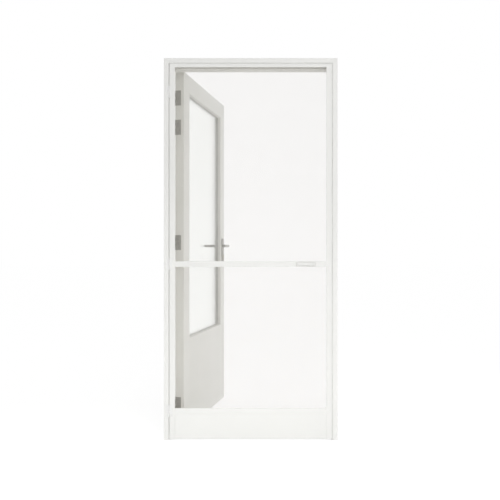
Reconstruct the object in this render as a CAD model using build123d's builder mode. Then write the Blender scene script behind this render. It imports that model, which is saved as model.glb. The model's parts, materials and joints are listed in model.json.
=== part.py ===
from build123d import *
import os
from math import cos, radians, sin

# A door frame with two doors hung in it: an insect-screen door in front,
# and behind it a glazed entrance leaf that stands open into the building.
# Millimetres, +X to the right seen from outside, +Y into the building, +Z up.
# The origin is on the bottom face of the sill, at the middle of the frame.

# Wooden door frame
leaf_width = 904
leaf_height = 2132
leaf_thickness = 54
leaf_gap = 5
stop_gap = 5
rebate_width = 15
rebate_arris = 1.2
frame_depth = 114
hinge_jamb_width = 52
latch_jamb_width = 54
head_thickness = 33
head_stop_height = 25.5
sill_height = 15
sill_rebate = 12
sill_nose = 4
sill_groove_width = 8
sill_groove_depth = 3
sill_groove_setback = 24
frame_arris = 3

# Glazed leaf
open_angle = 77.2
hinge_stile_width = 108
lock_stile_width = 94
top_rail_width = 105
lower_panel_height = 544
leaf_arris = 2
lock_edge_bevel = 2.2
sight_bevel = 6
glass_pane = 4
glass_cavity = 12
glass_setback = 20
glass_rebate = 14
glass_clearance = 3
spacer_width = 9
bead_slope = 4

# Door hinges
hinge_height = 89
hinge_plate = 2.5
hinge_reach = 43
hinge_knuckle_radius = 7
hinge_pin_radius = 3.9
hinge_knuckles = 5
hinge_top_drop = 154
hinge_second_drop = 328
hinge_third_rise = 1120
hinge_bottom_rise = 159
pin_clearance = 0.08
knuckle_gap = 0.4
knuckle_stand_off = 0.5

# Lock and lever handles
spindle_height = 1113
backset = 50
lock_spacing = 72
plate_height = 190
plate_width = 40
plate_thickness = 8
plate_corner = 8
plate_chamfer = 2
plate_above_spindle = 54
lever_radius = 9.5
lever_reach = 57
lever_length = 120
lever_bend = 14
lever_tip = 3
spigot_radius = 8
spindle_width = 8
spindle_grip = 14
running_fit = 0.08
spindle_bore_radius = 11
cylinder_radius = 8.5
cylinder_width = 10
cylinder_drop = 24.5
cylinder_proud = 3
key_slot_width = 2
key_slot_height = 9
key_slot_depth = 6
forend_height = 235
forend_width = 24
forend_thickness = 3
bolt_hole_width = 14
bolt_hole_depth = 20
latch_hole_height = 26
deadbolt_hole_height = 38

# Aluminium surround for the screen door
surround_face = 27
surround_depth = 28
surround_wall = 1.6
surround_web = 1.4
surround_arris = 1.5
surround_lip = 6.5
surround_lip_setback = 7

# Screen door
screen_gap = 5.5
screen_depth = 20
screen_stile_width = 30.5
screen_rail_width = 19
screen_flange = 6.5
screen_wall = 1.6
screen_arris = 1
mid_rail_width = 32
mid_rail_height = 988
lower_rail_width = 32
kick_plate_height = 142
kick_sheet = 1.5
kick_arris = 1.5
screen_floor_gap = 8
spline_groove = 5
spline_groove_depth = 6
spline_play = 0.1
spline_end_gap = 2
mesh_thickness = 0.6
mesh_bar = 3
mesh_columns = 12
upper_mesh_rows = 12
lower_mesh_rows = 9

# Screen hinges
screen_hinge_height = 69
screen_hinge_plate = 2
screen_hinge_reach = 19
screen_knuckle_radius = 4.5
screen_pin_offset = 4
screen_pin_radius = 2.2
screen_knuckles = 3
screen_hinge_top_drop = 161
screen_hinge_bottom_rise = 161

# Screen door pulls
pull_length = 110
pull_height = 16
pull_reach = 22
pull_bar = 6
pull_foot = 22
pull_corner = 8
pull_gap_corner = 3
pull_arris = 1.5
pull_from_edge = 148
lip_pull_reach = 11
lip_pull_base = 2
lip_pull_hook = 5

# Places worked out from the sizes above
hinge_side = hinge_jamb_width - rebate_width
latch_side = latch_jamb_width - rebate_width
frame_width = leaf_width + 2 * leaf_gap + hinge_side + latch_side
frame_left = -frame_width / 2
frame_right = frame_width / 2
frame_front = -frame_depth / 2
frame_back = frame_depth / 2
hinge_rebate_x = frame_left + hinge_side
latch_rebate_x = frame_right - latch_side
hinge_stop_x = hinge_rebate_x + rebate_width
latch_stop_x = latch_rebate_x - rebate_width
stop_y = frame_back - leaf_thickness - stop_gap
sill_rebate_z = sill_height - sill_rebate
head_rebate_z = sill_rebate_z + 2 * leaf_gap + leaf_height
head_stop_z = head_rebate_z - head_stop_height
frame_top = head_rebate_z + head_thickness

# The glazed leaf is drawn in its own axes: u runs from the pin to the lock
# edge, v is the thickness, and z is up as in the whole door
pin_x = hinge_rebate_x + leaf_gap / 2
pin_y = frame_back + hinge_knuckle_radius + knuckle_stand_off
leaf_axes = Plane(
    origin=(pin_x, pin_y, 0),
    x_dir=(cos(radians(open_angle)), sin(radians(open_angle)), 0),
    z_dir=(0, 0, 1),
)
leaf_u0 = leaf_gap / 2
leaf_u1 = leaf_u0 + leaf_width
leaf_inside = frame_back - pin_y
leaf_outside = leaf_inside - leaf_thickness
leaf_z0 = sill_rebate_z + leaf_gap
leaf_z1 = leaf_z0 + leaf_height
glass_u0 = leaf_u0 + hinge_stile_width
glass_u1 = leaf_u1 - lock_stile_width
glass_z0 = leaf_z0 + lower_panel_height
glass_z1 = leaf_z1 - top_rail_width
glass_u = (glass_u0 + glass_u1) / 2
glass_z = (glass_z0 + glass_z1) / 2
glass_width = glass_u1 - glass_u0
glass_height = glass_z1 - glass_z0
pane_width = glass_width + 2 * (glass_rebate - glass_clearance)
pane_height = glass_height + 2 * (glass_rebate - glass_clearance)
glass_depth = 2 * glass_pane + glass_cavity


def leaf_level(z):
    """Horizontal plane in the leaf's axes."""
    return Plane(leaf_axes.from_local_coords((0, 0, z)), leaf_axes.x_dir, (0, 0, 1))


def leaf_elevation(v):
    """Upright plane along the leaf at depth v, facing outside, x along u."""
    return Plane(leaf_axes.from_local_coords((0, v, 0)), leaf_axes.x_dir, -leaf_axes.y_dir)


def box_on(plane, x0, x1, y0, y1):
    """Rectangle between two corners on a plane."""
    with BuildSketch(plane) as outline:
        with Locations(((x0 + x1) / 2, (y0 + y1) / 2)):
            Rectangle(x1 - x0, y1 - y0)
    return outline.sketch


os.makedirs("parts", exist_ok=True)

# Sill: a low plank under both jambs, with a sloped nose and a drip groove, and
# a rebate that the glazed leaf's bottom edge drops into
with BuildPart() as sill:
    with BuildSketch(Plane.YZ.offset(frame_left)):
        with BuildLine():
            Polyline(
                (frame_front, 0),
                (frame_back, 0),
                (frame_back, sill_height),
                (frame_front + sill_nose, sill_height),
                (frame_front, sill_height - sill_nose),
                close=True,
            )
        make_face()
        with Locations((frame_front + sill_groove_setback, sill_height)):
            Rectangle(sill_groove_width, 2 * sill_groove_depth, mode=Mode.SUBTRACT)
    extrude(amount=frame_width)
    rebate = box_on(
        Plane.XY.offset(sill_rebate_z),
        hinge_rebate_x,
        latch_rebate_x,
        stop_y,
        frame_back,
    )
    extrude(rebate, amount=sill_rebate, mode=Mode.SUBTRACT)
sill.part.label = "sill"
export_step(sill.part, "parts/sill.step")

# Door hinges stand at the same four heights on the jamb and on the leaf
hinge_heights = [
    leaf_z0 + hinge_bottom_rise,
    leaf_z0 + hinge_third_rise,
    leaf_z1 - hinge_second_drop,
    leaf_z1 - hinge_top_drop,
]
knuckle_length = hinge_height / hinge_knuckles

# Hinge jamb: a rebated post with a mortise for each hinge plate
with BuildPart() as hinge_jamb:
    with BuildSketch(Plane.XY.offset(sill_height)) as section:
        with BuildLine():
            Polyline(
                (frame_left, frame_front),
                (hinge_stop_x, frame_front),
                (hinge_stop_x, stop_y),
                (hinge_rebate_x, stop_y),
                (hinge_rebate_x, frame_back),
                (frame_left, frame_back),
                close=True,
            )
        make_face()
        fillet(section.vertices().group_by(Axis.X)[-1], frame_arris)
        fillet(section.vertices().sort_by(Axis.Y)[-2:].sort_by(Axis.X)[-1], rebate_arris)
    extrude(amount=head_rebate_z - sill_height)
    for height in hinge_heights:
        mortise = box_on(
            Plane.XY.offset(height - hinge_height / 2),
            hinge_rebate_x - hinge_plate,
            hinge_rebate_x + rebate_width,
            pin_y - hinge_reach,
            frame_back + hinge_plate,
        )
        extrude(mortise, amount=hinge_height, mode=Mode.SUBTRACT)
hinge_jamb.part.label = "hinge_jamb"
export_step(hinge_jamb.part, "parts/hinge_jamb.step")

# Latch jamb: the same post mirrored and wider, recessed for the strike plate
forend_z = spindle_height - lock_spacing / 2
forend_v = (leaf_inside + leaf_outside) / 2
strike_y = frame_back - leaf_thickness / 2
with BuildPart() as latch_jamb:
    with BuildSketch(Plane.XY.offset(sill_height)) as section:
        with BuildLine():
            Polyline(
                (frame_right, frame_front),
                (frame_right, frame_back),
                (latch_rebate_x, frame_back),
                (latch_rebate_x, stop_y),
                (latch_stop_x, stop_y),
                (latch_stop_x, frame_front),
                close=True,
            )
        make_face()
        fillet(section.vertices().group_by(Axis.X)[0], frame_arris)
        fillet(section.vertices().sort_by(Axis.Y)[-2:].sort_by(Axis.X)[0], rebate_arris)
    extrude(amount=head_rebate_z - sill_height)
    with BuildSketch(Plane.YZ.offset(latch_rebate_x)):
        with Locations((strike_y, forend_z)):
            Rectangle(forend_width, forend_height)
    extrude(amount=forend_thickness, mode=Mode.SUBTRACT)
    with BuildSketch(Plane.YZ.offset(latch_rebate_x)):
        with Locations((strike_y, spindle_height)):
            Rectangle(bolt_hole_width, latch_hole_height)
        with Locations((strike_y, spindle_height - lock_spacing)):
            Rectangle(bolt_hole_width, deadbolt_hole_height)
    extrude(amount=bolt_hole_depth, mode=Mode.SUBTRACT)
latch_jamb.part.label = "latch_jamb"
export_step(latch_jamb.part, "parts/latch_jamb.step")

# Strike plate, let in flush on the latch jamb
with BuildPart() as strike_plate:
    with BuildSketch(Plane.YZ.offset(latch_rebate_x)):
        with Locations((strike_y, forend_z)):
            Rectangle(forend_width, forend_height)
        with Locations((strike_y, spindle_height)):
            Rectangle(bolt_hole_width, latch_hole_height, mode=Mode.SUBTRACT)
        with Locations((strike_y, spindle_height - lock_spacing)):
            Rectangle(bolt_hole_width, deadbolt_hole_height, mode=Mode.SUBTRACT)
    extrude(amount=forend_thickness)
strike_plate.part.label = "strike_plate"
export_step(strike_plate.part, "parts/strike_plate.step")

# Head: a plank over both jambs, with the stop between their stops
with BuildPart() as head:
    with BuildSketch(Plane.YZ.offset(frame_left)):
        with Locations((0, (head_rebate_z + frame_top) / 2)):
            Rectangle(frame_depth, head_thickness)
    extrude(amount=frame_width)
    with BuildSketch(Plane.YZ.offset(hinge_stop_x)):
        with Locations(((frame_front + stop_y) / 2, (head_stop_z + head_rebate_z) / 2)):
            Rectangle(stop_y - frame_front, head_stop_height)
    extrude(amount=latch_stop_x - hinge_stop_x)
    fillet(head.edges().filter_by(Axis.X).group_by(Axis.Z)[0], frame_arris)
head.part.label = "head"
export_step(head.part, "parts/head.step")

# Jamb halves of the door hinges: a plate let in flush, the outer and middle
# knuckles, and the pin that is pressed into them
for number, height in enumerate(hinge_heights, start=1):
    hinge_z = height - hinge_height / 2
    with BuildPart() as jamb_hinge:
        plate = box_on(
            Plane.XY.offset(hinge_z),
            hinge_rebate_x - hinge_plate,
            hinge_rebate_x,
            pin_y - hinge_reach,
            frame_back,
        )
        extrude(plate, amount=hinge_height)
        for knuckle in range(0, hinge_knuckles, 2):
            knuckle_z = hinge_z + knuckle * knuckle_length
            with BuildSketch(Plane.XY.offset(knuckle_z + knuckle_gap / 2)):
                with Locations((pin_x, pin_y)):
                    Circle(hinge_knuckle_radius)
                with Locations((hinge_rebate_x - hinge_plate / 2, (pin_y + frame_back) / 2)):
                    Rectangle(hinge_plate, pin_y - frame_back)
            extrude(amount=knuckle_length - knuckle_gap)
        with BuildSketch(Plane.XY.offset(hinge_z)):
            with Locations((pin_x, pin_y)):
                Circle(hinge_pin_radius)
        extrude(amount=hinge_height)
    jamb_hinge.part.label = f"jamb_hinge_{number}"
    export_step(jamb_hinge.part, f"parts/jamb_hinge_{number}.step")

# Leaf halves of the door hinges: a plate on the leaf's edge and the two
# knuckles that turn on the pin
for number, height in enumerate(hinge_heights, start=1):
    hinge_z = height - hinge_height / 2
    with BuildPart() as leaf_hinge:
        plate = box_on(leaf_level(hinge_z), leaf_u0, leaf_u0 + hinge_plate, -hinge_reach, leaf_inside)
        extrude(plate, amount=hinge_height)
        for knuckle in range(1, hinge_knuckles, 2):
            knuckle_z = hinge_z + knuckle * knuckle_length
            with BuildSketch(leaf_level(knuckle_z + knuckle_gap / 2)):
                Circle(hinge_knuckle_radius)
                with Locations((leaf_u0 + hinge_plate / 2, leaf_inside / 2)):
                    Rectangle(hinge_plate, -leaf_inside)
                Circle(hinge_pin_radius + pin_clearance, mode=Mode.SUBTRACT)
            extrude(amount=knuckle_length - knuckle_gap)
    leaf_hinge.part.label = f"leaf_hinge_{number}"
    export_step(leaf_hinge.part, f"parts/leaf_hinge_{number}.step")

# Pocket for the glass and its beads, open to the inside of the leaf, and the
# bevel round the sight opening on the outside
with BuildPart() as glass_pocket:
    with BuildSketch(leaf_elevation(leaf_outside + glass_setback)):
        with Locations((glass_u, glass_z)):
            Rectangle(glass_width + 2 * glass_rebate, glass_height + 2 * glass_rebate)
    extrude(amount=glass_setback - leaf_thickness)
    with BuildSketch(leaf_elevation(leaf_outside)):
        with Locations((glass_u, glass_z)):
            Rectangle(glass_width, glass_height)
    extrude(amount=-glass_setback)
    with BuildSketch(leaf_elevation(leaf_outside)):
        with Locations((glass_u, glass_z)):
            Rectangle(glass_width + 2 * sight_bevel, glass_height + 2 * sight_bevel)
    extrude(amount=-sight_bevel, taper=45)

# Hinge stile of the glazed leaf, with a mortise for each hinge plate
with BuildPart() as hinge_stile:
    with BuildSketch(leaf_level(leaf_z0)) as section:
        with BuildLine():
            Polyline(
                (leaf_u0, leaf_outside),
                (glass_u0, leaf_outside),
                (glass_u0, leaf_inside),
                (leaf_u0, leaf_inside),
                close=True,
            )
        make_face()
        fillet(section.vertices().group_by(Axis.X)[0], leaf_arris)
    extrude(amount=leaf_height)
    for height in hinge_heights:
        mortise = box_on(
            leaf_level(height - hinge_height / 2),
            leaf_u0 - leaf_arris,
            leaf_u0 + hinge_plate,
            -hinge_reach,
            leaf_inside + leaf_arris,
        )
        extrude(mortise, amount=hinge_height, mode=Mode.SUBTRACT)
    add(glass_pocket.part, mode=Mode.SUBTRACT)
hinge_stile.part.label = "hinge_stile"
export_step(hinge_stile.part, "parts/hinge_stile.step")

# Lock stile: its edge is bevelled so that it clears the jamb as it closes
spindle_u = leaf_u1 - backset
cylinder_z = spindle_height - lock_spacing
forend_u = leaf_u1 - lock_edge_bevel
with BuildPart() as lock_stile:
    with BuildSketch(leaf_level(leaf_z0)) as section:
        with BuildLine():
            Polyline(
                (glass_u1, leaf_outside),
                (leaf_u1 - lock_edge_bevel, leaf_outside),
                (leaf_u1, leaf_inside),
                (glass_u1, leaf_inside),
                close=True,
            )
        make_face()
        fillet(section.vertices().sort_by(Axis.X)[-2:], leaf_arris)
    extrude(amount=leaf_height)
    with BuildSketch(leaf_elevation(leaf_outside)):
        with Locations((spindle_u, spindle_height)):
            Circle(spindle_bore_radius)
        with Locations((spindle_u, cylinder_z)):
            Circle(cylinder_radius + running_fit)
        with Locations((spindle_u, cylinder_z - cylinder_drop / 2)):
            Rectangle(cylinder_width + 2 * running_fit, cylinder_drop + 2 * running_fit)
    extrude(amount=-leaf_thickness, mode=Mode.SUBTRACT)
    forend_pocket = box_on(
        leaf_level(forend_z - forend_height / 2),
        forend_u - forend_thickness,
        leaf_u1,
        forend_v - forend_width / 2,
        forend_v + forend_width / 2,
    )
    extrude(forend_pocket, amount=forend_height, mode=Mode.SUBTRACT)
    add(glass_pocket.part, mode=Mode.SUBTRACT)
lock_stile.part.label = "lock_stile"
export_step(lock_stile.part, "parts/lock_stile.step")

# Lock forend, let into the lock edge
with BuildPart() as lock_forend:
    with BuildSketch(leaf_level(forend_z - forend_height / 2)):
        with Locations((forend_u - forend_thickness / 2, forend_v)):
            Rectangle(forend_thickness, forend_width)
    extrude(amount=forend_height)
lock_forend.part.label = "lock_forend"
export_step(lock_forend.part, "parts/lock_forend.step")

# Top rail and lower panel of the glazed leaf, between the stiles
with BuildPart() as leaf_top_rail:
    with BuildSketch(leaf_elevation(leaf_outside)):
        with Locations((glass_u, leaf_z1 - top_rail_width / 2)):
            Rectangle(glass_width, top_rail_width)
    extrude(amount=-leaf_thickness)
    add(glass_pocket.part, mode=Mode.SUBTRACT)
leaf_top_rail.part.label = "leaf_top_rail"
export_step(leaf_top_rail.part, "parts/leaf_top_rail.step")

with BuildPart() as lower_panel:
    with BuildSketch(leaf_elevation(leaf_outside)):
        with Locations((glass_u, leaf_z0 + lower_panel_height / 2)):
            Rectangle(glass_width, lower_panel_height)
    extrude(amount=-leaf_thickness)
    add(glass_pocket.part, mode=Mode.SUBTRACT)
lower_panel.part.label = "lower_panel"
export_step(lower_panel.part, "parts/lower_panel.step")

# Sealed glazing unit: two panes on a hollow spacer
glass_outer_v = leaf_outside + glass_setback
glass_inner_v = glass_outer_v + glass_pane + glass_cavity
with BuildPart() as glass_outer:
    with BuildSketch(leaf_elevation(glass_outer_v)):
        with Locations((glass_u, glass_z)):
            Rectangle(pane_width, pane_height)
    extrude(amount=-glass_pane)
glass_outer.part.label = "glass_outer"
export_step(glass_outer.part, "parts/glass_outer.step")

with BuildPart() as glass_inner:
    with BuildSketch(leaf_elevation(glass_inner_v)):
        with Locations((glass_u, glass_z)):
            Rectangle(pane_width, pane_height)
    extrude(amount=-glass_pane)
glass_inner.part.label = "glass_inner"
export_step(glass_inner.part, "parts/glass_inner.step")

with BuildPart() as glass_spacer:
    with BuildSketch(leaf_elevation(glass_outer_v + glass_pane)):
        with Locations((glass_u, glass_z)):
            Rectangle(pane_width, pane_height)
            Rectangle(pane_width - 2 * spacer_width, pane_height - 2 * spacer_width, mode=Mode.SUBTRACT)
    extrude(amount=-glass_cavity)
glass_spacer.part.label = "glass_spacer"
export_step(glass_spacer.part, "parts/glass_spacer.step")

# Glazing beads on the inside, sloped towards the glass
bead_v = glass_outer_v + glass_depth
with BuildPart() as glazing_beads:
    with BuildSketch(leaf_elevation(bead_v)):
        with Locations((glass_u, glass_z)):
            Rectangle(glass_width + 2 * glass_rebate, glass_height + 2 * glass_rebate)
    extrude(amount=bead_v - leaf_inside)
    with BuildSketch(leaf_elevation(leaf_inside)):
        with Locations((glass_u, glass_z)):
            Rectangle(glass_width + 2 * bead_slope, glass_height + 2 * bead_slope)
    with BuildSketch(leaf_elevation(bead_v)):
        with Locations((glass_u, glass_z)):
            Rectangle(glass_width, glass_height)
    loft(mode=Mode.SUBTRACT)
glazing_beads.part.label = "glazing_beads"
export_step(glazing_beads.part, "parts/glazing_beads.step")


def lock_openings(plane, clearance):
    """Spindle bore and cylinder cut-out of a handle plate."""
    with BuildSketch(plane) as openings:
        with Locations((spindle_u, spindle_height)):
            Circle(spigot_radius + clearance)
        with Locations((spindle_u, cylinder_z)):
            Circle(cylinder_radius + clearance)
        with Locations((spindle_u, cylinder_z - cylinder_drop / 2)):
            Rectangle(cylinder_width + 2 * clearance, cylinder_drop + 2 * clearance)
    return openings.sketch


# Long handle plates on both faces of the lock stile
plate_z = spindle_height + plate_above_spindle - plate_height / 2
plate_sides = [
    ("outer", leaf_outside - plate_thickness),
    ("inner", leaf_inside),
]
for side, plate_v in plate_sides:
    front = leaf_elevation(plate_v)
    with BuildPart() as handle_plate:
        with BuildSketch(front):
            with Locations((spindle_u, plate_z)):
                RectangleRounded(plate_width, plate_height, plate_corner)
        extrude(amount=-plate_thickness)
        shown = handle_plate.faces().sort_by(Axis(leaf_axes.origin, leaf_axes.y_dir))
        rim = shown[0] if side == "outer" else shown[-1]
        chamfer(rim.edges(), plate_chamfer)
        extrude(lock_openings(front, running_fit), amount=-plate_thickness, mode=Mode.SUBTRACT)
    handle_plate.part.label = f"handle_plate_{side}"
    export_step(handle_plate.part, f"parts/handle_plate_{side}.step")

# Lock cylinder through both plates, with a key slot at each end
cylinder_v = leaf_outside - plate_thickness - cylinder_proud
cylinder_length = leaf_thickness + 2 * (plate_thickness + cylinder_proud)
with BuildPart() as lock_cylinder:
    with BuildSketch(leaf_elevation(cylinder_v)):
        with Locations((spindle_u, cylinder_z)):
            Circle(cylinder_radius)
        with Locations((spindle_u, cylinder_z - cylinder_drop + cylinder_width / 2)):
            Circle(cylinder_width / 2)
        with Locations((spindle_u, cylinder_z - (cylinder_drop - cylinder_width / 2) / 2)):
            Rectangle(cylinder_width, cylinder_drop - cylinder_width / 2)
    extrude(amount=-cylinder_length)
    for slot_v in (cylinder_v, cylinder_v + cylinder_length - key_slot_depth):
        with BuildSketch(leaf_elevation(slot_v)):
            with Locations((spindle_u, cylinder_z)):
                Rectangle(key_slot_width, key_slot_height)
        extrude(amount=-key_slot_depth, mode=Mode.SUBTRACT)
lock_cylinder.part.label = "lock_cylinder"
export_step(lock_cylinder.part, "parts/lock_cylinder.step")

# Square spindle that joins the two levers
spindle_length = leaf_thickness + 2 * (plate_thickness + spindle_grip)
with BuildPart() as spindle:
    with BuildSketch(leaf_elevation(leaf_outside - plate_thickness - spindle_grip)):
        with Locations((spindle_u, spindle_height)):
            Rectangle(spindle_width, spindle_width)
    extrude(amount=-spindle_length)
spindle.part.label = "spindle"
export_step(spindle.part, "parts/spindle.step")

# Lever handles: a round bar that leaves its plate square to the leaf, turns
# towards the hinges, and turns in the plate on a spigot
lever_sides = [
    ("outer", leaf_outside, -1),
    ("inner", leaf_inside, 1),
]
for side, face_v, outward in lever_sides:
    neck_v = face_v + outward * (plate_thickness + knuckle_gap)
    arm_v = face_v + outward * (lever_reach - lever_radius)
    neck = Plane(
        leaf_axes.from_local_coords((spindle_u, neck_v, spindle_height)),
        leaf_axes.x_dir,
        leaf_axes.y_dir * outward,
    )
    with BuildPart() as lever:
        with BuildLine(leaf_level(spindle_height)):
            FilletPolyline(
                (spindle_u, neck_v),
                (spindle_u, arm_v),
                (spindle_u - lever_length, arm_v),
                radius=lever_bend,
            )
        with BuildSketch(neck):
            Circle(lever_radius)
        sweep()
        tip = lever.edges().filter_by(GeomType.CIRCLE).sort_by(Axis(leaf_axes.origin, leaf_axes.x_dir))[0]
        fillet(tip, lever_tip)
        with BuildSketch(neck):
            Circle(spigot_radius)
        extrude(amount=-(plate_thickness + knuckle_gap))
        with BuildSketch(neck.offset(spindle_grip - knuckle_gap + running_fit)):
            Rectangle(spindle_width + 2 * running_fit, spindle_width + 2 * running_fit)
        extrude(amount=-(plate_thickness + spindle_grip + running_fit), mode=Mode.SUBTRACT)
    lever.part.label = f"lever_{side}"
    export_step(lever.part, f"parts/lever_{side}.step")

# Surround: a hollow section planted on the face of the door frame and mitred
# at its two top corners, with a set-back lip that closes the gap to the screen
# door from behind
surround_front = frame_front - surround_depth
surround_inner = frame_right - surround_face
left_mitre = Plane(origin=(frame_left, 0, frame_top), z_dir=(1, 0, 1))
right_mitre = Plane(origin=(frame_right, 0, frame_top), z_dir=(-1, 0, 1))


def surround_section(plane):
    """Section with x outwards from the inner edge and y back from the front."""
    chamber_width = surround_face - 2 * surround_wall
    chamber_depth = (surround_depth - 2 * surround_wall - surround_web) / 2
    lip_length = surround_depth - surround_lip_setback
    lip_middle = surround_lip_setback + lip_length / 2
    with BuildSketch(plane) as section:
        with Locations((surround_face / 2, surround_depth / 2)):
            Rectangle(surround_face, surround_depth)
        fillet(section.vertices().group_by(Axis.Y)[0], surround_arris)
        with Locations(
            (surround_face / 2, surround_wall + chamber_depth / 2),
            (surround_face / 2, surround_depth - surround_wall - chamber_depth / 2),
        ):
            Rectangle(chamber_width, chamber_depth, mode=Mode.SUBTRACT)
        with Locations((-surround_lip / 2, lip_middle)):
            Rectangle(surround_lip, lip_length)
        with Locations(((surround_wall - surround_lip) / 2, lip_middle)):
            Rectangle(surround_lip - surround_wall, lip_length - 2 * surround_wall, mode=Mode.SUBTRACT)
    return section.sketch


with BuildPart() as surround_left:
    leg = surround_section(Plane((-surround_inner, surround_front, frame_top), (-1, 0, 0), (0, 0, -1)))
    extrude(leg, amount=frame_top)
    split(bisect_by=left_mitre, keep=Keep.BOTTOM)
surround_left.part.label = "surround_left"
export_step(surround_left.part, "parts/surround_left.step")

with BuildPart() as surround_right:
    leg = surround_section(Plane((surround_inner, surround_front, 0), (1, 0, 0), (0, 0, 1)))
    extrude(leg, amount=frame_top)
    split(bisect_by=right_mitre, keep=Keep.BOTTOM)
surround_right.part.label = "surround_right"
export_step(surround_right.part, "parts/surround_right.step")

with BuildPart() as surround_head:
    beam = surround_section(
        Plane((frame_right, surround_front, frame_top - surround_face), (0, 0, 1), (-1, 0, 0))
    )
    extrude(beam, amount=frame_width)
    split(bisect_by=left_mitre, keep=Keep.TOP)
    split(bisect_by=right_mitre, keep=Keep.TOP)
surround_head.part.label = "surround_head"
export_step(surround_head.part, "parts/surround_head.step")

# Screen door: hollow sections with a lip and a spline groove along each side
# that holds mesh, and a flange in front of the surround's lip
lip_depth = screen_wall + spline_groove_depth
lip_width = screen_wall + spline_groove
screen_front = surround_front
screen_outer = surround_inner - screen_gap
screen_inner = screen_outer - screen_stile_width
screen_top = frame_top - surround_face - screen_gap
screen_mitre_left = Plane(
    origin=(-screen_outer, 0, screen_top), z_dir=(screen_rail_width, 0, screen_stile_width)
)
screen_mitre_right = Plane(
    origin=(screen_outer, 0, screen_top), z_dir=(-screen_rail_width, 0, screen_stile_width)
)
lower_rail_z = screen_floor_gap + kick_plate_height
lower_rail_top = lower_rail_z + lower_rail_width
mid_rail_top = mid_rail_height + mid_rail_width
top_rail_z = screen_top - screen_rail_width


def screen_section(plane, width, outer_edge):
    """Section with x outwards from the mesh edge and y back from the front."""
    outer_points = {
        "flange": [
            (width, screen_wall),
            (width - screen_flange, screen_wall),
            (width - screen_flange, screen_depth),
        ],
        "lip": [
            (width, lip_depth),
            (width - screen_wall, lip_depth),
            (width - screen_wall, screen_wall),
            (width - lip_width, screen_wall),
            (width - lip_width, screen_depth),
        ],
        "plain": [(width, screen_depth)],
    }[outer_edge]
    chamber_end = outer_points[-1][0]
    with BuildSketch(plane) as section:
        with BuildLine():
            Polyline(
                (0, 0),
                (width, 0),
                *outer_points,
                (lip_width, screen_depth),
                (lip_width, screen_wall),
                (screen_wall, screen_wall),
                (screen_wall, lip_depth),
                (0, lip_depth),
                close=True,
            )
        make_face()
        fillet(section.vertices().group_by(Axis.Y)[0], screen_arris)
        with Locations(((lip_width + chamber_end) / 2, screen_depth / 2)):
            Rectangle(
                chamber_end - lip_width - 2 * screen_wall,
                screen_depth - 2 * screen_wall,
                mode=Mode.SUBTRACT,
            )
    return section.sketch


# Behind their flanges the stiles stop level with the chamber of the top rail
stile_ends = box_on(
    Plane.XY.offset(screen_top - screen_flange),
    -screen_outer,
    screen_outer,
    screen_front + screen_wall,
    screen_front + screen_depth,
)

with BuildPart() as screen_stile_left:
    post = screen_section(
        Plane((-screen_inner, screen_front, screen_top), (-1, 0, 0), (0, 0, -1)),
        screen_stile_width,
        "flange",
    )
    extrude(post, amount=screen_top - screen_floor_gap)
    split(bisect_by=screen_mitre_left, keep=Keep.BOTTOM)
    extrude(stile_ends, amount=screen_flange, mode=Mode.SUBTRACT)
screen_stile_left.part.label = "screen_stile_left"
export_step(screen_stile_left.part, "parts/screen_stile_left.step")

with BuildPart() as screen_stile_right:
    post = screen_section(
        Plane((screen_inner, screen_front, screen_floor_gap), (1, 0, 0), (0, 0, 1)),
        screen_stile_width,
        "flange",
    )
    extrude(post, amount=screen_top - screen_floor_gap)
    split(bisect_by=screen_mitre_right, keep=Keep.BOTTOM)
    extrude(stile_ends, amount=screen_flange, mode=Mode.SUBTRACT)
screen_stile_right.part.label = "screen_stile_right"
export_step(screen_stile_right.part, "parts/screen_stile_right.step")

with BuildPart() as screen_top_rail:
    rail = screen_section(
        Plane((screen_outer, screen_front, top_rail_z), (0, 0, 1), (-1, 0, 0)),
        screen_rail_width,
        "flange",
    )
    extrude(rail, amount=2 * screen_outer)
    split(bisect_by=screen_mitre_left, keep=Keep.TOP)
    split(bisect_by=screen_mitre_right, keep=Keep.TOP)
screen_top_rail.part.label = "screen_top_rail"
export_step(screen_top_rail.part, "parts/screen_top_rail.step")

# Cross rails run back to the chamber walls of the stiles, and are notched
# in front over the stiles' lips
rail_reach = screen_inner + lip_width


def lip_notches():
    """Blocks in front of the stiles' lips at both ends of a cross rail."""
    with BuildSketch(Plane.XY) as notches:
        with Locations(
            (-(screen_inner + rail_reach) / 2, screen_front + lip_depth / 2),
            ((screen_inner + rail_reach) / 2, screen_front + lip_depth / 2),
        ):
            Rectangle(lip_width, lip_depth)
    return notches.sketch


with BuildPart() as screen_mid_rail:
    rail = screen_section(
        Plane((rail_reach, screen_front, mid_rail_height), (0, 0, 1), (-1, 0, 0)),
        mid_rail_width,
        "lip",
    )
    extrude(rail, amount=2 * rail_reach)
    extrude(lip_notches(), amount=mid_rail_top, mode=Mode.SUBTRACT)
screen_mid_rail.part.label = "screen_mid_rail"
export_step(screen_mid_rail.part, "parts/screen_mid_rail.step")

with BuildPart() as screen_lower_rail:
    rail = screen_section(
        Plane((-rail_reach, screen_front, lower_rail_top), (0, 0, -1), (1, 0, 0)),
        lower_rail_width,
        "plain",
    )
    extrude(rail, amount=2 * rail_reach)
    extrude(lip_notches(), amount=lower_rail_top, mode=Mode.SUBTRACT)
screen_lower_rail.part.label = "screen_lower_rail"
export_step(screen_lower_rail.part, "parts/screen_lower_rail.step")

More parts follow.
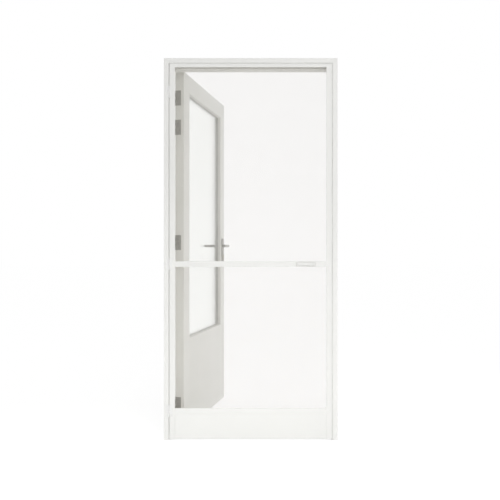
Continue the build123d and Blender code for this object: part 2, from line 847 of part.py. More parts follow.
# Kick plate: flush with the stiles in front and rounded along its joints, with
# a back sheet that lies on their lips
with BuildPart() as kick_plate:
    with BuildSketch(Plane.XY.offset(screen_floor_gap)):
        with Locations((0, screen_front + lip_depth / 2)):
            Rectangle(2 * (screen_inner - spline_play), lip_depth)
        with Locations((0, screen_front + lip_depth + kick_sheet / 2)):
            Rectangle(2 * (rail_reach - spline_play), kick_sheet)
    extrude(amount=kick_plate_height)
    fillet(kick_plate.faces().sort_by(Axis.Y)[0].edges(), kick_arris)
kick_plate.part.label = "kick_plate"
export_step(kick_plate.part, "parts/kick_plate.step")

# Mesh panels, each a coarse flat grid that lies on the lips round its bay
mesh_bays = [
    ("upper_mesh", mid_rail_top, top_rail_z, upper_mesh_rows),
    ("lower_mesh", lower_rail_top, mid_rail_height, lower_mesh_rows),
]
mesh_pitch_x = 2 * screen_inner / mesh_columns
for name, bay_z0, bay_z1, rows in mesh_bays:
    mesh_pitch_z = (bay_z1 - bay_z0) / rows
    with BuildPart() as mesh:
        with BuildSketch(Plane.XZ.offset(-(screen_front + lip_depth))):
            with Locations((0, (bay_z0 + bay_z1) / 2)):
                Rectangle(2 * (screen_inner + screen_wall), bay_z1 - bay_z0 + 2 * screen_wall)
                with GridLocations(mesh_pitch_x, mesh_pitch_z, mesh_columns, rows):
                    Rectangle(mesh_pitch_x - mesh_bar, mesh_pitch_z - mesh_bar, mode=Mode.SUBTRACT)
        extrude(amount=-mesh_thickness)
    mesh.part.label = name
    export_step(mesh.part, f"parts/{name}.step")

# Round splines that wedge the mesh in its grooves, one length to a side
spline_radius = spline_groove / 2 - spline_play
spline_offset = screen_wall + spline_groove / 2
spline_y = screen_front + lip_depth - spline_radius
with BuildPart() as mesh_splines:
    for name, bay_z0, bay_z1, rows in mesh_bays:
        with BuildSketch(Plane.XY.offset(bay_z0 + spline_end_gap)):
            with Locations(
                (-(screen_inner + spline_offset), spline_y),
                (screen_inner + spline_offset, spline_y),
            ):
                Circle(spline_radius)
        extrude(amount=bay_z1 - bay_z0 - 2 * spline_end_gap)
        with BuildSketch(Plane.YZ.offset(-screen_inner + spline_end_gap)):
            with Locations((spline_y, bay_z0 - spline_offset), (spline_y, bay_z1 + spline_offset)):
                Circle(spline_radius)
        extrude(amount=2 * (screen_inner - spline_end_gap))
mesh_splines.part.label = "mesh_splines"
export_step(mesh_splines.part, "parts/mesh_splines.step")

# Screen hinges: face plates either side of the gap, three knuckles and a pin
screen_pin_x = -surround_inner + screen_gap / 2
screen_pin_y = screen_front - screen_pin_offset
screen_knuckle = screen_hinge_height / screen_knuckles
screen_hinge_heights = [
    screen_floor_gap + screen_hinge_bottom_rise,
    mid_rail_height + mid_rail_width / 2,
    screen_top - screen_hinge_top_drop,
]
for number, height in enumerate(screen_hinge_heights, start=1):
    hinge_z = height - screen_hinge_height / 2
    for side, hand, first in (("surround", -1, 0), ("screen", 1, 1)):
        with BuildPart() as face_hinge:
            plate = box_on(
                Plane.XY.offset(hinge_z),
                screen_pin_x + hand * (screen_knuckle_radius + knuckle_stand_off),
                screen_pin_x + hand * screen_hinge_reach,
                screen_front - screen_hinge_plate,
                screen_front,
            )
            extrude(plate, amount=screen_hinge_height)
            for knuckle in range(first, screen_knuckles, 2):
                knuckle_z = hinge_z + knuckle * screen_knuckle
                with BuildSketch(Plane.XY.offset(knuckle_z + knuckle_gap / 2)):
                    with Locations((screen_pin_x, screen_pin_y)):
                        Circle(screen_knuckle_radius)
                    with Locations(
                        (
                            screen_pin_x + hand * screen_knuckle_radius / 2 + hand * knuckle_stand_off / 2,
                            screen_front - screen_hinge_plate / 2,
                        )
                    ):
                        Rectangle(screen_knuckle_radius + knuckle_stand_off, screen_hinge_plate)
                    if side == "screen":
                        with Locations((screen_pin_x, screen_pin_y)):
                            Circle(screen_pin_radius + pin_clearance, mode=Mode.SUBTRACT)
                extrude(amount=screen_knuckle - knuckle_gap)
            if side == "surround":
                with BuildSketch(Plane.XY.offset(hinge_z)):
                    with Locations((screen_pin_x, screen_pin_y)):
                        Circle(screen_pin_radius)
                extrude(amount=screen_hinge_height)
        face_hinge.part.label = f"{side}_hinge_{number}"
        export_step(face_hinge.part, f"parts/{side}_hinge_{number}.step")

# Bow pull on the outside of the mid rail
pull_x = screen_outer - pull_from_edge
pull_z = mid_rail_height + (mid_rail_width - pull_height) / 2
gap_y = screen_front - pull_reach + pull_bar
with BuildPart() as pull_outer:
    with BuildSketch(Plane.XY.offset(pull_z)) as bow:
        with Locations((pull_x, screen_front - pull_reach / 2)):
            Rectangle(pull_length, pull_reach)
        fillet(bow.vertices().group_by(Axis.Y)[0], pull_corner)
        with Locations((pull_x, screen_front - (pull_reach - pull_bar) / 2)):
            Rectangle(pull_length - 2 * pull_foot, pull_reach - pull_bar, mode=Mode.SUBTRACT)
        gap_corners = bow.vertices().filter_by_position(Axis.Y, gap_y - pull_arris, gap_y + pull_arris)
        fillet(gap_corners, pull_gap_corner)
    extrude(amount=pull_height)
    fillet(
        pull_outer.edges().filter_by(lambda e: e.center().Y < screen_front - pull_arris).filter_by(
            Axis.Z, reverse=True
        ),
        pull_arris,
    )
pull_outer.part.label = "pull_outer"
export_step(pull_outer.part, "parts/pull_outer.step")

# Low finger lip on the inside of the mid rail
with BuildPart() as pull_inner:
    with BuildSketch(Plane.YZ.offset(pull_x - pull_length / 2)):
        with BuildLine():
            back = screen_front + screen_depth
            Polyline(
                (back, pull_z),
                (back + lip_pull_reach, pull_z),
                (back + lip_pull_reach, pull_z + lip_pull_hook),
                (back + lip_pull_reach - lip_pull_base, pull_z + lip_pull_hook),
                (back + lip_pull_reach - lip_pull_base, pull_z + lip_pull_base),
                (back + lip_pull_base, pull_z + lip_pull_base),
                (back + lip_pull_base, pull_z + pull_height),
                (back, pull_z + pull_height),
                close=True,
            )
        make_face()
    extrude(amount=pull_length)
pull_inner.part.label = "pull_inner"
export_step(pull_inner.part, "parts/pull_inner.step")
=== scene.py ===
import json
import math
import bmesh
import bpy
from mathutils import Matrix, Vector


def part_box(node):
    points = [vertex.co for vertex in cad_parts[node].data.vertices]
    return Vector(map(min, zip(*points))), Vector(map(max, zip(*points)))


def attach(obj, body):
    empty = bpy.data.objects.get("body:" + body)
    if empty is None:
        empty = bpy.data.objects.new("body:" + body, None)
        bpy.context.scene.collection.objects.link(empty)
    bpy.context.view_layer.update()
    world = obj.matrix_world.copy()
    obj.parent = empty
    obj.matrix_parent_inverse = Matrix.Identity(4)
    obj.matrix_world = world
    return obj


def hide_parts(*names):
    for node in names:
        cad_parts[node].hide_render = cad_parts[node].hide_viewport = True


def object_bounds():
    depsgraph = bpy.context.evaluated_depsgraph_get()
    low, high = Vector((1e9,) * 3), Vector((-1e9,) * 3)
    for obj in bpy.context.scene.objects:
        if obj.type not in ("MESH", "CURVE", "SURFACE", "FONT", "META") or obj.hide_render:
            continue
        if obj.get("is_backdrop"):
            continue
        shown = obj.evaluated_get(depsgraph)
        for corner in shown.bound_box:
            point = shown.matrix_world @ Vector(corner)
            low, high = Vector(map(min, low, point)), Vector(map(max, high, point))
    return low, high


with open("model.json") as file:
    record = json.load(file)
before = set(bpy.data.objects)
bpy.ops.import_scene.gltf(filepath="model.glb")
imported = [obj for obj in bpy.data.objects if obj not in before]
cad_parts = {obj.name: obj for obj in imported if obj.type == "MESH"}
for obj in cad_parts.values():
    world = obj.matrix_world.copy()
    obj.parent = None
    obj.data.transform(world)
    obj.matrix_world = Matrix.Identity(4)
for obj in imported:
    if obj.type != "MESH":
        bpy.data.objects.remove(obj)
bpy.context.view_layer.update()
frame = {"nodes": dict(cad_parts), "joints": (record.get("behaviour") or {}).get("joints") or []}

# A white door set: an insect-screen door in front, a glazed leaf standing open behind it.
# Metres, +X to the right, +Y into the building, +Z up.

mm = 0.001
nodes = frame["nodes"]
joints = {joint["name"]: joint for joint in frame["joints"]}

# The glazed leaf's own axes: x from the pin to the lock edge, y its thickness, z up
leafPin = Vector(joints["leaf_swing"]["pos_m"])
leafAngle = math.radians(-joints["leaf_swing"]["range_deg"][0])
leafPlace = Matrix.Translation((leafPin.x, leafPin.y, 0)) @ Matrix.Rotation(leafAngle, 4, "Z")


def leafBox(name):  # lowest and highest corner of a node in the leaf's axes
    toLeaf = leafPlace.inverted()
    points = [toLeaf @ vertex.co for vertex in nodes[name].data.vertices]
    low = Vector([min(point[i] for point in points) for i in range(3)])
    return low, Vector([max(point[i] for point in points) for i in range(3)])


# Materials

def linear(hexColor):  # sRGB hex to the linear values that shaders use
    channels = [int(hexColor[i:i + 2], 16) / 255 for i in (1, 3, 5)]
    return [c / 12.92 if c < 0.04045 else ((c + 0.055) / 1.055) ** 2.4 for c in channels] + [1]


def addNode(tree, kind, settings, links):
    node = tree.nodes.new(kind)
    for name, value in settings.items():
        if name in node.inputs:
            node.inputs[name].default_value = value
        else:
            setattr(node, name, value)
    for name, socket in links.items():
        tree.links.new(socket, node.inputs[name])
    return node


def makeFinish(name, look):  # an opaque finish: slow drift of tone, a directed grain and a fine skin
    material = bpy.data.materials.new(name)
    material.use_nodes = True
    tree = material.node_tree
    tree.nodes.clear()
    place = addNode(tree, "ShaderNodeTexCoord", {}, {}).outputs["Object"]
    cells = {  # one pattern cell in millimetres along each axis, and its detail
        "drift": ([look["driftSize"]] * 3, 2), "grain": (look["grainSize"], 3),
        "skin": ([look["skinSize"]] * 3, 2),
    }
    pattern = {}
    for layer, (size, detail) in cells.items():
        mapping = addNode(
            tree, "ShaderNodeMapping",
            {
                "vector_type": "TEXTURE", "Rotation": (0, 0, look.get("turn", 0)),
                "Scale": [length * mm for length in size],
            },
            {"Vector": place},
        )
        pattern[layer] = addNode(
            tree, "ShaderNodeTexNoise", {"Scale": 1, "Detail": detail}, {"Vector": mapping.outputs[0]}
        ).outputs["Fac"]
    color = addNode(tree, "ShaderNodeValToRGB", {}, {"Fac": pattern["drift"]})
    for stop, position, hexColor in zip(color.color_ramp.elements, (0.3, 0.7), look["colors"]):
        stop.position = position
        stop.color = linear(hexColor)
    rough = addNode(
        tree, "ShaderNodeMapRange",
        {
            "From Min": 0.3, "From Max": 0.7,
            "To Min": look["roughness"][0], "To Max": look["roughness"][1],
        },
        {"Value": pattern["grain"]},
    )
    grainBump = addNode(
        tree, "ShaderNodeBump", {"Strength": 1, "Distance": look["grainHeight"] * mm},
        {"Height": pattern["grain"]},
    )
    skinBump = addNode(
        tree, "ShaderNodeBump", {"Strength": 1, "Distance": look["skinHeight"] * mm},
        {"Height": pattern["skin"], "Normal": grainBump.outputs["Normal"]},
    )
    shader = addNode(
        tree, "ShaderNodeBsdfPrincipled", look["shader"],
        {
            "Base Color": color.outputs["Color"], "Roughness": rough.outputs["Result"],
            "Normal": skinBump.outputs["Normal"],
        },
    )
    addNode(tree, "ShaderNodeOutputMaterial", {}, {"Surface": shader.outputs["BSDF"]})
    return material


# Satin paint sprayed on sanded hardwood: flat white, with the grain just raised along each piece.
# The real grain is about 1 mm wide; it is drawn 6 mm wide so that it shows at all.
paint = {
    "colors": ("#E9E9E5", "#E4E5E0"), "driftSize": 420, "roughness": (0.34, 0.46),
    "grainHeight": 0.05, "skinSize": 2.5, "skinHeight": 0.015,
    "shader": {"IOR": 1.48, "Specular IOR Level": 0.4},
}
paintUpright = makeFinish("satinPaintGrainUpright", {**paint, "grainSize": (6, 6, 300)})
paintAcross = makeFinish("satinPaintGrainAcross", {**paint, "grainSize": (300, 6, 6)})
paintLeafAcross = makeFinish(
    "satinPaintGrainAcrossLeaf", {**paint, "grainSize": (300, 6, 6), "turn": leafAngle}
)

# Matt floor-grade paint on the sill: the same white, a little duller underfoot
paintSill = makeFinish("mattPaintSill", {
    "colors": ("#E2E2DD", "#DADAD4"), "driftSize": 160, "roughness": (0.5, 0.65),
    "grainSize": (300, 6, 6), "grainHeight": 0.07, "skinSize": 3, "skinHeight": 0.03,
    "shader": {"IOR": 1.48},
})

# Polyester powder coat baked on extruded aluminium: even white with a fine orange peel
powderCoat = makeFinish("powderCoatAluminium", {
    "colors": ("#ECECE9", "#E8E8E5"), "driftSize": 500, "roughness": (0.36, 0.42),
    "grainSize": (9, 9, 9), "grainHeight": 0.02, "skinSize": 1.6, "skinHeight": 0.02,
    "shader": {"IOR": 1.5, "Specular IOR Level": 0.45},
})

# Stove lacquer on pressed steel: white, glossier than the powder coat beside it
lacquer = makeFinish("whiteLacquerSteel", {
    "colors": ("#EEEEEC", "#EAEAE8"), "driftSize": 60, "roughness": (0.24, 0.3),
    "grainSize": (5, 5, 5), "grainHeight": 0.01, "skinSize": 1.2, "skinHeight": 0.008,
    "shader": {"IOR": 1.5, "Coat Weight": 0.3, "Coat Roughness": 0.1},
})

# Zinc plate on rolled steel: a dull mid grey that drifts in small clouds
zincSteel = makeFinish("zincPlatedSteel", {
    "colors": ("#A4A5A2", "#B4B5B1"), "driftSize": 14, "roughness": (0.36, 0.5),
    "grainSize": (1.2, 1.2, 24), "grainHeight": 0.012, "skinSize": 0.8, "skinHeight": 0.006,
    "shader": {"Metallic": 1},
})

# Satin-brushed stainless steel: fine upright brush marks that soften what they mirror
brushedSteel = makeFinish("brushedStainlessSteel", {
    "colors": ("#A5A5A2", "#ADADAA"), "driftSize": 30, "roughness": (0.24, 0.34),
    "grainSize": (0.8, 0.8, 26), "grainHeight": 0.008, "skinSize": 0.6, "skinHeight": 0.003,
    "shader": {"Metallic": 1},
})

# Nickel plate on turned brass: warmer and brighter than the steel round it
nickelBrass = makeFinish("nickelPlatedBrass", {
    "colors": ("#B9B4A6", "#C2BDB0"), "driftSize": 8, "roughness": (0.16, 0.24),
    "grainSize": (6, 0.6, 0.6), "grainHeight": 0.004, "skinSize": 0.5, "skinHeight": 0.002,
    "shader": {"Metallic": 1},
})

# Matt mill-finish aluminium spacer, with the faint draw lines of its rolling
spacerMetal = makeFinish("millAluminiumSpacer", {
    "colors": ("#B4B5B4", "#BEBFBE"), "driftSize": 40, "roughness": (0.42, 0.52),
    "grainSize": (1, 1, 60), "grainHeight": 0.006, "skinSize": 0.7, "skinHeight": 0.004,
    "shader": {"Metallic": 1},
})

# Soft extruded PVC cord: matt off-white with slight ripples along its length
softCord = makeFinish("extrudedPvcCord", {
    "colors": ("#D6D6D2", "#CDCDC8"), "driftSize": 90, "roughness": (0.55, 0.65),
    "grainSize": (3, 3, 3), "grainHeight": 0.06, "skinSize": 0.8, "skinHeight": 0.01,
    "shader": {"IOR": 1.53, "Specular IOR Level": 0.35},
})

# Injection-moulded ABS: white with the dull sheen of a spark-eroded mould
mouldedPull = makeFinish("mouldedAbs", {
    "colors": ("#E7E7E4", "#E3E3E0"), "driftSize": 70, "roughness": (0.3, 0.38),
    "grainSize": (4, 4, 4), "grainHeight": 0.012, "skinSize": 0.7, "skinHeight": 0.012,
    "shader": {"IOR": 1.53},
})

# White silicone tooled along the pane: rubbery, slightly uneven under the finger
sealantSkin = makeFinish("tooledSilicone", {
    "colors": ("#DEDEDA", "#D6D6D1"), "driftSize": 50, "roughness": (0.42, 0.52),
    "grainSize": (18, 18, 18), "grainHeight": 0.2, "skinSize": 3, "skinHeight": 0.03,
    "shader": {"IOR": 1.43},
})

# Polypropylene pile: matt white tufts with no sheen
woolPile = makeFinish("polypropylenePile", {
    "colors": ("#EDEDEA", "#E6E6E2"), "driftSize": 30, "roughness": (0.75, 0.85),
    "grainSize": (0.3, 4, 0.3), "grainHeight": 0.06, "skinSize": 0.6, "skinHeight": 0.02,
    "shader": {"IOR": 1.49, "Specular IOR Level": 0.2},
})

# Coated polyester yarn: pale grey and matt, the tone drifting a little from yarn to yarn
coatedYarn = makeFinish("coatedPolyesterYarn", {
    "colors": ("#DFD8D0", "#D7D0C8"), "driftSize": 60, "roughness": (0.5, 0.6),
    "grainSize": (2, 2, 2), "grainHeight": 0.01, "skinSize": 0.5, "skinHeight": 0.005,
    "shader": {"IOR": 1.5, "Specular IOR Level": 0.3},
})

# Clear float glass, 4 mm: the faintest green, and a slow draw ripple in what it mirrors
floatLook = {
    "color": "#FEFFFE", "ior": 1.52, "rippleSize": (0.25, 0.25, 0.6), "rippleHeight": 0.1 * mm,
}
floatGlass = bpy.data.materials.new("clearFloatGlass")
floatGlass.use_nodes = True
glassTree = floatGlass.node_tree
glassTree.nodes.clear()
glassPlace = addNode(glassTree, "ShaderNodeTexCoord", {}, {})
glassMap = addNode(
    glassTree, "ShaderNodeMapping", {"vector_type": "TEXTURE", "Scale": floatLook["rippleSize"]},
    {"Vector": glassPlace.outputs["Object"]},
)
ripple = addNode(
    glassTree, "ShaderNodeTexNoise", {"Scale": 1, "Detail": 1}, {"Vector": glassMap.outputs[0]}
)
rippleBump = addNode(
    glassTree, "ShaderNodeBump", {"Strength": 1, "Distance": floatLook["rippleHeight"]},
    {"Height": ripple.outputs["Fac"]},
)
glassShader = addNode(
    glassTree, "ShaderNodeBsdfPrincipled",
    {
        "Base Color": linear(floatLook["color"]), "Roughness": 0, "IOR": floatLook["ior"],
        "Transmission Weight": 1,
    },
    {"Normal": rippleBump.outputs["Normal"]},
)
addNode(glassTree, "ShaderNodeOutputMaterial", {}, {"Surface": glassShader.outputs["BSDF"]})
print("materials made")

# Finishes of the pieces that come from the frame, by how their names begin
finishes = [
    ("sill", paintSill),
    ("hinge_jamb", paintUpright), ("latch_jamb", paintUpright), ("head", paintAcross),
    ("hinge_stile", paintUpright), ("lock_stile", paintUpright), ("glazing_beads", paintUpright),
    ("leaf_top_rail", paintLeafAcross), ("lower_panel", paintLeafAcross),
    ("surround_hinge", lacquer), ("screen_hinge", lacquer),
    ("surround", powderCoat), ("screen_", powderCoat), ("kick_plate", powderCoat),
    ("jamb_hinge", zincSteel), ("leaf_hinge", zincSteel),
    ("strike_plate", brushedSteel), ("lock_forend", brushedSteel), ("handle_plate", brushedSteel),
    ("lever", brushedSteel), ("spindle", zincSteel), ("lock_cylinder", nickelBrass),
    ("glass_spacer", spacerMetal), ("glass", floatGlass),
    ("mesh_splines", softCord), ("pull", mouldedPull),
    ("upper_mesh", coatedYarn), ("lower_mesh", coatedYarn),
]
for name, node in nodes.items():
    material = next(made for start, made in finishes if name.startswith(start))
    if node.material_slots:
        node.material_slots[0].material = material
    else:
        node.data.materials.append(material)
print("finishes given")


def makePiece(name, mesh, material, body):
    data = bpy.data.meshes.new(name)
    mesh.to_mesh(data)
    mesh.free()
    data.materials.append(material)
    piece = bpy.data.objects.new(name, data)
    bpy.context.scene.collection.objects.link(piece)
    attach(piece, body)
    return piece


def repeatMesh(name, pattern, places, material, body):  # one piece from many copies
    mesh = bmesh.new()
    for place in places:
        mesh.from_mesh(pattern)
        mesh.verts.ensure_lookup_table()
        bmesh.ops.transform(mesh, matrix=place, verts=mesh.verts[-len(pattern.vertices):])
    bpy.data.meshes.remove(pattern)
    makePiece(name, mesh, material, body)


# Insect mesh: straight coated yarns, fused where they cross
yarn = {"pitch": 1.5 * mm, "radius": 0.085 * mm, "sides": 6}


def weaveMesh(name):
    low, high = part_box(name)
    middle = (low + high) / 2
    mesh = bmesh.new()
    directions = ((0, 2, Matrix.Rotation(math.pi / 2, 4, "Y")), (2, 0, Matrix.Identity(4)))
    for axis, across, turn in directions:
        count = int((high[across] - low[across]) / yarn["pitch"])
        for i in range(count):
            place = middle.copy()
            place[across] += (i - (count - 1) / 2) * yarn["pitch"]
            bmesh.ops.create_cone(
                mesh, cap_ends=True, segments=yarn["sides"], radius1=yarn["radius"],
                radius2=yarn["radius"], depth=high[axis] - low[axis],
                matrix=Matrix.Translation(place) @ turn,
            )
    piece = makePiece(name + "_yarns", mesh, coatedYarn, "screen_door")
    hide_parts(name)


for name in ("upper_mesh", "lower_mesh"):
    weaveMesh(name)
    print("woven", name)

# Countersunk screws with a cross recess, their heads just proud of the plates
screw = {
    "rim": 0.5 * mm, "height": 0.9 * mm, "proud": 0.25 * mm, "segments": 20,
    "armLength": 0.56, "armWidth": 0.14, "recess": 0.6 * mm,
}


def screwHead(radius):  # one head on the XY plane, facing +Z
    mesh = bmesh.new()
    bmesh.ops.create_cone(
        mesh, cap_ends=True, segments=screw["segments"], radius1=radius, radius2=radius - screw["rim"],
        depth=screw["height"],
        matrix=Matrix.Translation((0, 0, screw["proud"] - screw["height"] / 2)),
    )
    arm, half = radius * screw["armLength"], radius * screw["armWidth"]
    for direction in (Vector((1, 0, 0)), Vector((0, 1, 0))):
        for offset in (-arm, -half, half, arm):
            parts = mesh.verts[:] + mesh.edges[:] + mesh.faces[:]
            bmesh.ops.bisect_plane(
                mesh, geom=parts, plane_co=direction * offset, plane_no=direction
            )
    cross = []
    for face in mesh.faces:
        spread = sorted(abs(c) for c in face.calc_center_median()[:2])
        if face.normal.z > 0.9 and spread[0] < half and spread[1] < arm:
            cross.append(face)
    made = bmesh.ops.extrude_face_region(mesh, geom=cross)
    bmesh.ops.delete(mesh, geom=cross, context="FACES")  # the extrusion leaves them over the recess
    floor = [part for part in made["geom"] if isinstance(part, bmesh.types.BMVert)]
    bmesh.ops.translate(mesh, verts=floor, vec=(0, 0, -screw["recess"]))
    bmesh.ops.recalc_face_normals(mesh, faces=mesh.faces)
    head = bpy.data.meshes.new("screwHead")
    mesh.to_mesh(head)
    mesh.free()
    return head


def facing(place, normal, spin):  # a place whose +Z is the normal, turned about it
    turn = Vector(normal).to_track_quat("Z", "Y").to_matrix().to_4x4()
    return Matrix.Translation(place) @ turn @ Matrix.Rotation(spin, 4, "Z")


def driveScrews(name, places, radius, material, body):
    repeatMesh(name, screwHead(radius), places, material, body)


hingeScrews = {
    "head": 3.9 * mm, "plate": 2.5 * mm, "rise": (-0.38, -0.13, 0.13, 0.38),
    "setback": (9 * mm, 20 * mm, 20 * mm, 9 * mm), "jambSpin": 0.4, "leafSpin": 0.7,
}
stileEdge = leafBox("hinge_stile")[0].x
for number in range(1, 5):
    low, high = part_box(f"jamb_hinge_{number}")
    plateX = low.x + hingeScrews["plate"]
    rises = [(low.z + high.z) / 2 + rise * (high.z - low.z) for rise in hingeScrews["rise"]]
    places = [
        facing((plateX, low.y + setback, rise), (1, 0, 0), hingeScrews["jambSpin"] * i)
        for i, (rise, setback) in enumerate(zip(rises, hingeScrews["setback"]))
    ]
    driveScrews(
        f"jamb_hinge_screws_{number}", places, hingeScrews["head"], zincSteel,
        "door_frame",
    )
    low, high = leafBox(f"leaf_hinge_{number}")
    places = [
        leafPlace @ facing(
            (stileEdge, low.y + setback, rise), (-1, 0, 0), hingeScrews["leafSpin"] * i
        )
        for i, (rise, setback) in enumerate(zip(rises, hingeScrews["setback"]))
    ]
    driveScrews(
        f"leaf_hinge_screws_{number}", places, hingeScrews["head"], zincSteel,
        "glazed_leaf",
    )
print("door hinge screws driven")

screenScrews = {
    "head": 2.5 * mm, "plate": 2 * mm, "inset": 7 * mm, "rise": (-0.33, 0, 0.33), "spin": 0.5,
}
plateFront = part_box("screen_top_rail")[0].y - screenScrews["plate"]
for side, body in (("surround", "door_frame"), ("screen", "screen_door")):
    for number in range(1, 4):
        low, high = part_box(f"{side}_hinge_{number}")
        inset = screenScrews["inset"]
        screwX = low.x + inset if side == "surround" else high.x - inset
        places = [
            facing(
                (screwX, plateFront, (low.z + high.z) / 2 + rise * (high.z - low.z)),
                (0, -1, 0), screenScrews["spin"] * i,
            )
            for i, rise in enumerate(screenScrews["rise"])
        ]
        driveScrews(
            f"{side}_hinge_screws_{number}", places, screenScrews["head"], lacquer,
            body,
        )
print("screen hinge screws driven")

lockScrews = {
    "head": 3.2 * mm, "fromEnd": 8 * mm, "plateFromEnd": 11.2 * mm,
    "strikeSpin": 0.3, "forendSpin": 0.9, "plateSpin": 0.2,
}
low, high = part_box("strike_plate")
places = [
    facing((low.x, (low.y + high.y) / 2, z), (-1, 0, 0), lockScrews["strikeSpin"])
    for z in (low.z + lockScrews["fromEnd"], high.z - lockScrews["fromEnd"])
]
driveScrews(
    "strike_plate_screws", places, lockScrews["head"], brushedSteel, "door_frame"
)
low, high = leafBox("lock_forend")
places = [
    leafPlace @ facing((high.x, (low.y + high.y) / 2, z), (1, 0, 0), lockScrews["forendSpin"])
    for z in (low.z + lockScrews["fromEnd"], high.z - lockScrews["fromEnd"])
]
driveScrews(
    "lock_forend_screws", places, lockScrews["head"], brushedSteel, "glazed_leaf"
)
low, high = leafBox("handle_plate_inner")
places = [
    leafPlace @ facing(((low.x + high.x) / 2, high.y, z), (0, 1, 0), lockScrews["plateSpin"])
    for z in (low.z + lockScrews["plateFromEnd"], high.z - lockScrews["plateFromEnd"])
]
driveScrews(
    "handle_plate_screws", places, lockScrews["head"], brushedSteel, "glazed_leaf"
)
print("lock screws driven")

# Pile seal that stands on the surround's set-back lip, in the gap at the screen door's top and
# latch edges. Real fibres are far finer; these tufts are as coarse as they need to show.
pile = {
    "pitch": 1.7 * mm, "rows": 3, "root": 1.13 * mm, "tip": 1.1 * mm, "height": 6.8 * mm,
    "lean": 0.015, "turnStep": 2.4, "blockLength": 24,
    "lipWidth": 6.5 * mm, "lipSetback": 7 * mm, "above": 2 * mm,
}


def tuftBlock():  # a short run of tufts along X that stand on the XY plane
    mesh = bmesh.new()
    square = Matrix.Rotation(math.pi / 4, 4, "Z")
    lift = Matrix.Translation((0, 0, pile["height"] / 2))
    for i in range(pile["blockLength"]):
        for row in range(pile["rows"]):
            turn = pile["turnStep"] * (i * pile["rows"] + row)
            across = (row - (pile["rows"] - 1) / 2) * pile["pitch"]
            foot = Matrix.Translation(((i + 0.5) * pile["pitch"], across, 0))
            lean = Matrix.Rotation(pile["lean"], 4, Vector((math.cos(turn), math.sin(turn), 0)))
            bmesh.ops.create_cone(
                mesh, cap_ends=True, segments=4, radius1=pile["root"], radius2=pile["tip"],
                depth=pile["height"], matrix=foot @ lean @ lift @ square,
            )
    block = bpy.data.meshes.new("tuftBlock")
    mesh.to_mesh(block)
    mesh.free()
    return block


def layPile(name, start, end):
    along = (end - start).normalized()
    front = Vector((0, -1, 0))
    turn = Matrix((along, front.cross(along), front)).transposed().to_4x4()
    count = round((end - start).length / (pile["blockLength"] * pile["pitch"]))
    places = [Matrix.Translation(start.lerp(end, i / count)) @ turn for i in range(count)]
    repeatMesh(name, tuftBlock(), places, woolPile, "door_frame")


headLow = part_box("surround_head")[0]
lipY = headLow.y + pile["lipSetback"]
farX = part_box("surround_right")[0].x + pile["lipWidth"]
farZ = headLow.z + pile["lipWidth"]
gapX = (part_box("screen_stile_right")[1].x + farX) / 2
gapZ = (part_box("screen_top_rail")[1].z + farZ) / 2
layPile("pile_seal_right", Vector((gapX, lipY, pile["above"])), Vector((gapX, lipY, farZ)))
layPile("pile_seal_head", Vector((-farX, lipY, gapZ)), Vector((2 * gapX - farX, lipY, gapZ)))
print("pile seals laid")

# Silicone fillet between the outer pane and the sight opening
sealant = {"leg": 4 * mm, "lip": 0.4 * mm}


def runSealant():
    paneLow, paneHigh = leafBox("glass_outer")
    panelLow, panelHigh = leafBox("lower_panel")
    left, right = panelLow.x, panelHigh.x  # the sight opening is as wide as the panel
    bottom = panelHigh.z
    top = leafBox("leaf_top_rail")[0].z
    mesh = bmesh.new()
    bmesh.ops.create_grid(mesh, x_segments=1, y_segments=1, size=0.5)
    bmesh.ops.scale(mesh, vec=(right - left, top - bottom, 1), verts=mesh.verts)
    bmesh.ops.inset_region(
        mesh, faces=mesh.faces[:], thickness=sealant["leg"], use_boundary=True, use_even_offset=True
    )
    inner = min(mesh.faces, key=lambda face: face.calc_center_median().length)
    bmesh.ops.delete(mesh, geom=[inner], context="FACES_ONLY")
    made = bmesh.ops.extrude_face_region(mesh, geom=mesh.faces[:])
    raised = [part for part in made["geom"] if isinstance(part, bmesh.types.BMVert)]
    bmesh.ops.translate(mesh, verts=raised, vec=(0, 0, sealant["leg"]))
    shift = sealant["leg"] - sealant["lip"]
    for vertex in raised:
        if abs(vertex.co.x) < (right - left) / 2 - sealant["lip"]:
            vertex.co.x += math.copysign(shift, vertex.co.x)
            vertex.co.y += math.copysign(shift, vertex.co.y)
    bmesh.ops.recalc_face_normals(mesh, faces=mesh.faces)
    middle = Vector(((left + right) / 2, paneLow.y, (bottom + top) / 2))
    place = leafPlace @ Matrix.Translation(middle) @ Matrix.Rotation(math.pi / 2, 4, "X")
    bmesh.ops.transform(mesh, matrix=place, verts=mesh.verts)
    makePiece("glass_sealant", mesh, sealantSkin, "glazed_leaf")


runSealant()
print("sealant run")

# Studio: a white floor and dome, a soft key over the camera, a low lamp beside it, a lamp that
# lights the floor in front of the sill, and one at the side for the open leaf
studio = {
    "floorSize": 80, "dome": 0.73, "floorColor": "#F6F6F6", "floorGlow": 0.64, "glowStrength": 1.18,
}
lamps = {
    "key": {"power": 33, "size": 1.8, "spread": 180, "place": (1.0, -4.8, 2.7), "aim": (0, 0, 0.7)},
    "low": {"power": 3, "size": 0.7, "spread": 180, "place": (0.6, -3.8, 0.37), "aim": (0, 0, 0.1)},
    "bounce": {"power": 12, "size": 1.3, "spread": 80, "place": (0.1, -1.8, 2.6), "aim": (0, -1.5, 0)},
    "side": {
        "power": 9.5, "size": 0.7, "spread": 180, "place": (2.7, 0.9, 0.35), "aim": (-0.3, 0.5, 0.4),
    },
}


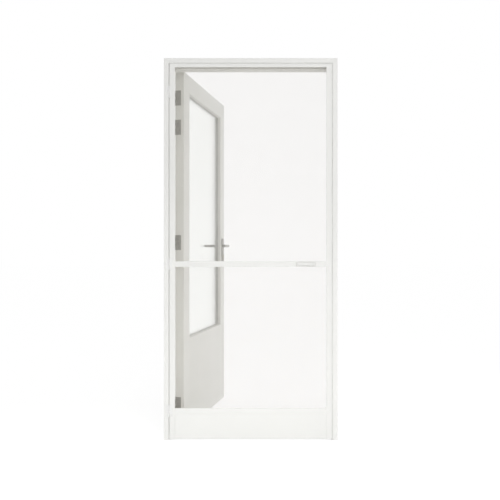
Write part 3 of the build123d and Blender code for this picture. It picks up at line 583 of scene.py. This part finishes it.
def seenDirectly(tree):  # 1 where the eye, a mirror or a pane looks, 0 where light is gathered
    rays = addNode(tree, "ShaderNodeLightPath", {}, {})
    first = addNode(
        tree, "ShaderNodeMath", {"operation": "MAXIMUM"},
        {0: rays.outputs["Is Camera Ray"], 1: rays.outputs["Is Glossy Ray"]},
    )
    return addNode(
        tree, "ShaderNodeMath", {"operation": "MAXIMUM"},
        {0: first.outputs[0], 1: rays.outputs["Is Transmission Ray"]},
    ).outputs[0]


floorMaterial = bpy.data.materials.new("studioFloor")
floorMaterial.use_nodes = True
floorTree = floorMaterial.node_tree
floorTree.nodes.clear()
floorDiffuse = addNode(floorTree, "ShaderNodeBsdfDiffuse", {"Color": linear(studio["floorColor"])}, {})
floorWhite = addNode(
    floorTree, "ShaderNodeEmission", {"Color": (1, 1, 1, 1), "Strength": studio["glowStrength"]}, {}
)
floorShare = addNode(
    floorTree, "ShaderNodeMath", {"operation": "MULTIPLY"}, {0: seenDirectly(floorTree)}
)
floorShare.inputs[1].default_value = studio["floorGlow"]
floorMix = addNode(
    floorTree, "ShaderNodeMixShader", {},
    {"Fac": floorShare.outputs[0], 1: floorDiffuse.outputs[0], 2: floorWhite.outputs[0]},
)
addNode(floorTree, "ShaderNodeOutputMaterial", {}, {"Surface": floorMix.outputs[0]})
floorMesh = bmesh.new()
bmesh.ops.create_grid(floorMesh, x_segments=1, y_segments=1, size=studio["floorSize"] / 2)
floorData = bpy.data.meshes.new("studioFloor")
floorMesh.to_mesh(floorData)
floorMesh.free()
floorData.materials.append(floorMaterial)
floor = bpy.data.objects.new("studioFloor", floorData)
bpy.context.scene.collection.objects.link(floor)
floor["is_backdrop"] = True

world = bpy.data.worlds.new("studioDome")
bpy.context.scene.world = world
world.use_nodes = True
worldTree = world.node_tree
worldTree.nodes.clear()
domeStrength = addNode(
    worldTree, "ShaderNodeMapRange", {"To Min": studio["dome"], "To Max": 1},
    {"Value": seenDirectly(worldTree)},
)
dome = addNode(
    worldTree, "ShaderNodeBackground", {"Color": (1, 1, 1, 1)},
    {"Strength": domeStrength.outputs["Result"]},
)
addNode(worldTree, "ShaderNodeOutputWorld", {}, {"Surface": dome.outputs[0]})

for name, setting in lamps.items():
    lampData = bpy.data.lights.new(name + "Light", "AREA")
    lampData.energy = setting["power"]
    lampData.size = setting["size"]
    lampData.spread = math.radians(setting["spread"])
    lamp = bpy.data.objects.new(name + "Light", lampData)
    lamp.location = setting["place"]
    aim = Vector(setting["aim"]) - lamp.location
    lamp.rotation_euler = aim.to_track_quat("-Z", "Y").to_euler()
    bpy.context.scene.collection.objects.link(lamp)

# The photograph's view: square on, at a little over half the height
view = {"place": (-0.004, -3.612, 1.084), "lens": 44.57, "sensor": 36}
cameraData = bpy.data.cameras.new("camera")
cameraData.lens = view["lens"]
cameraData.sensor_width = view["sensor"]
camera = bpy.data.objects.new("camera", cameraData)
camera.location = view["place"]
camera.rotation_euler = (math.pi / 2, 0, 0)
bpy.context.scene.collection.objects.link(camera)
bpy.context.scene.camera = camera
bpy.context.scene.view_settings.view_transform = "Standard"
print("studio set")

low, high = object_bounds()
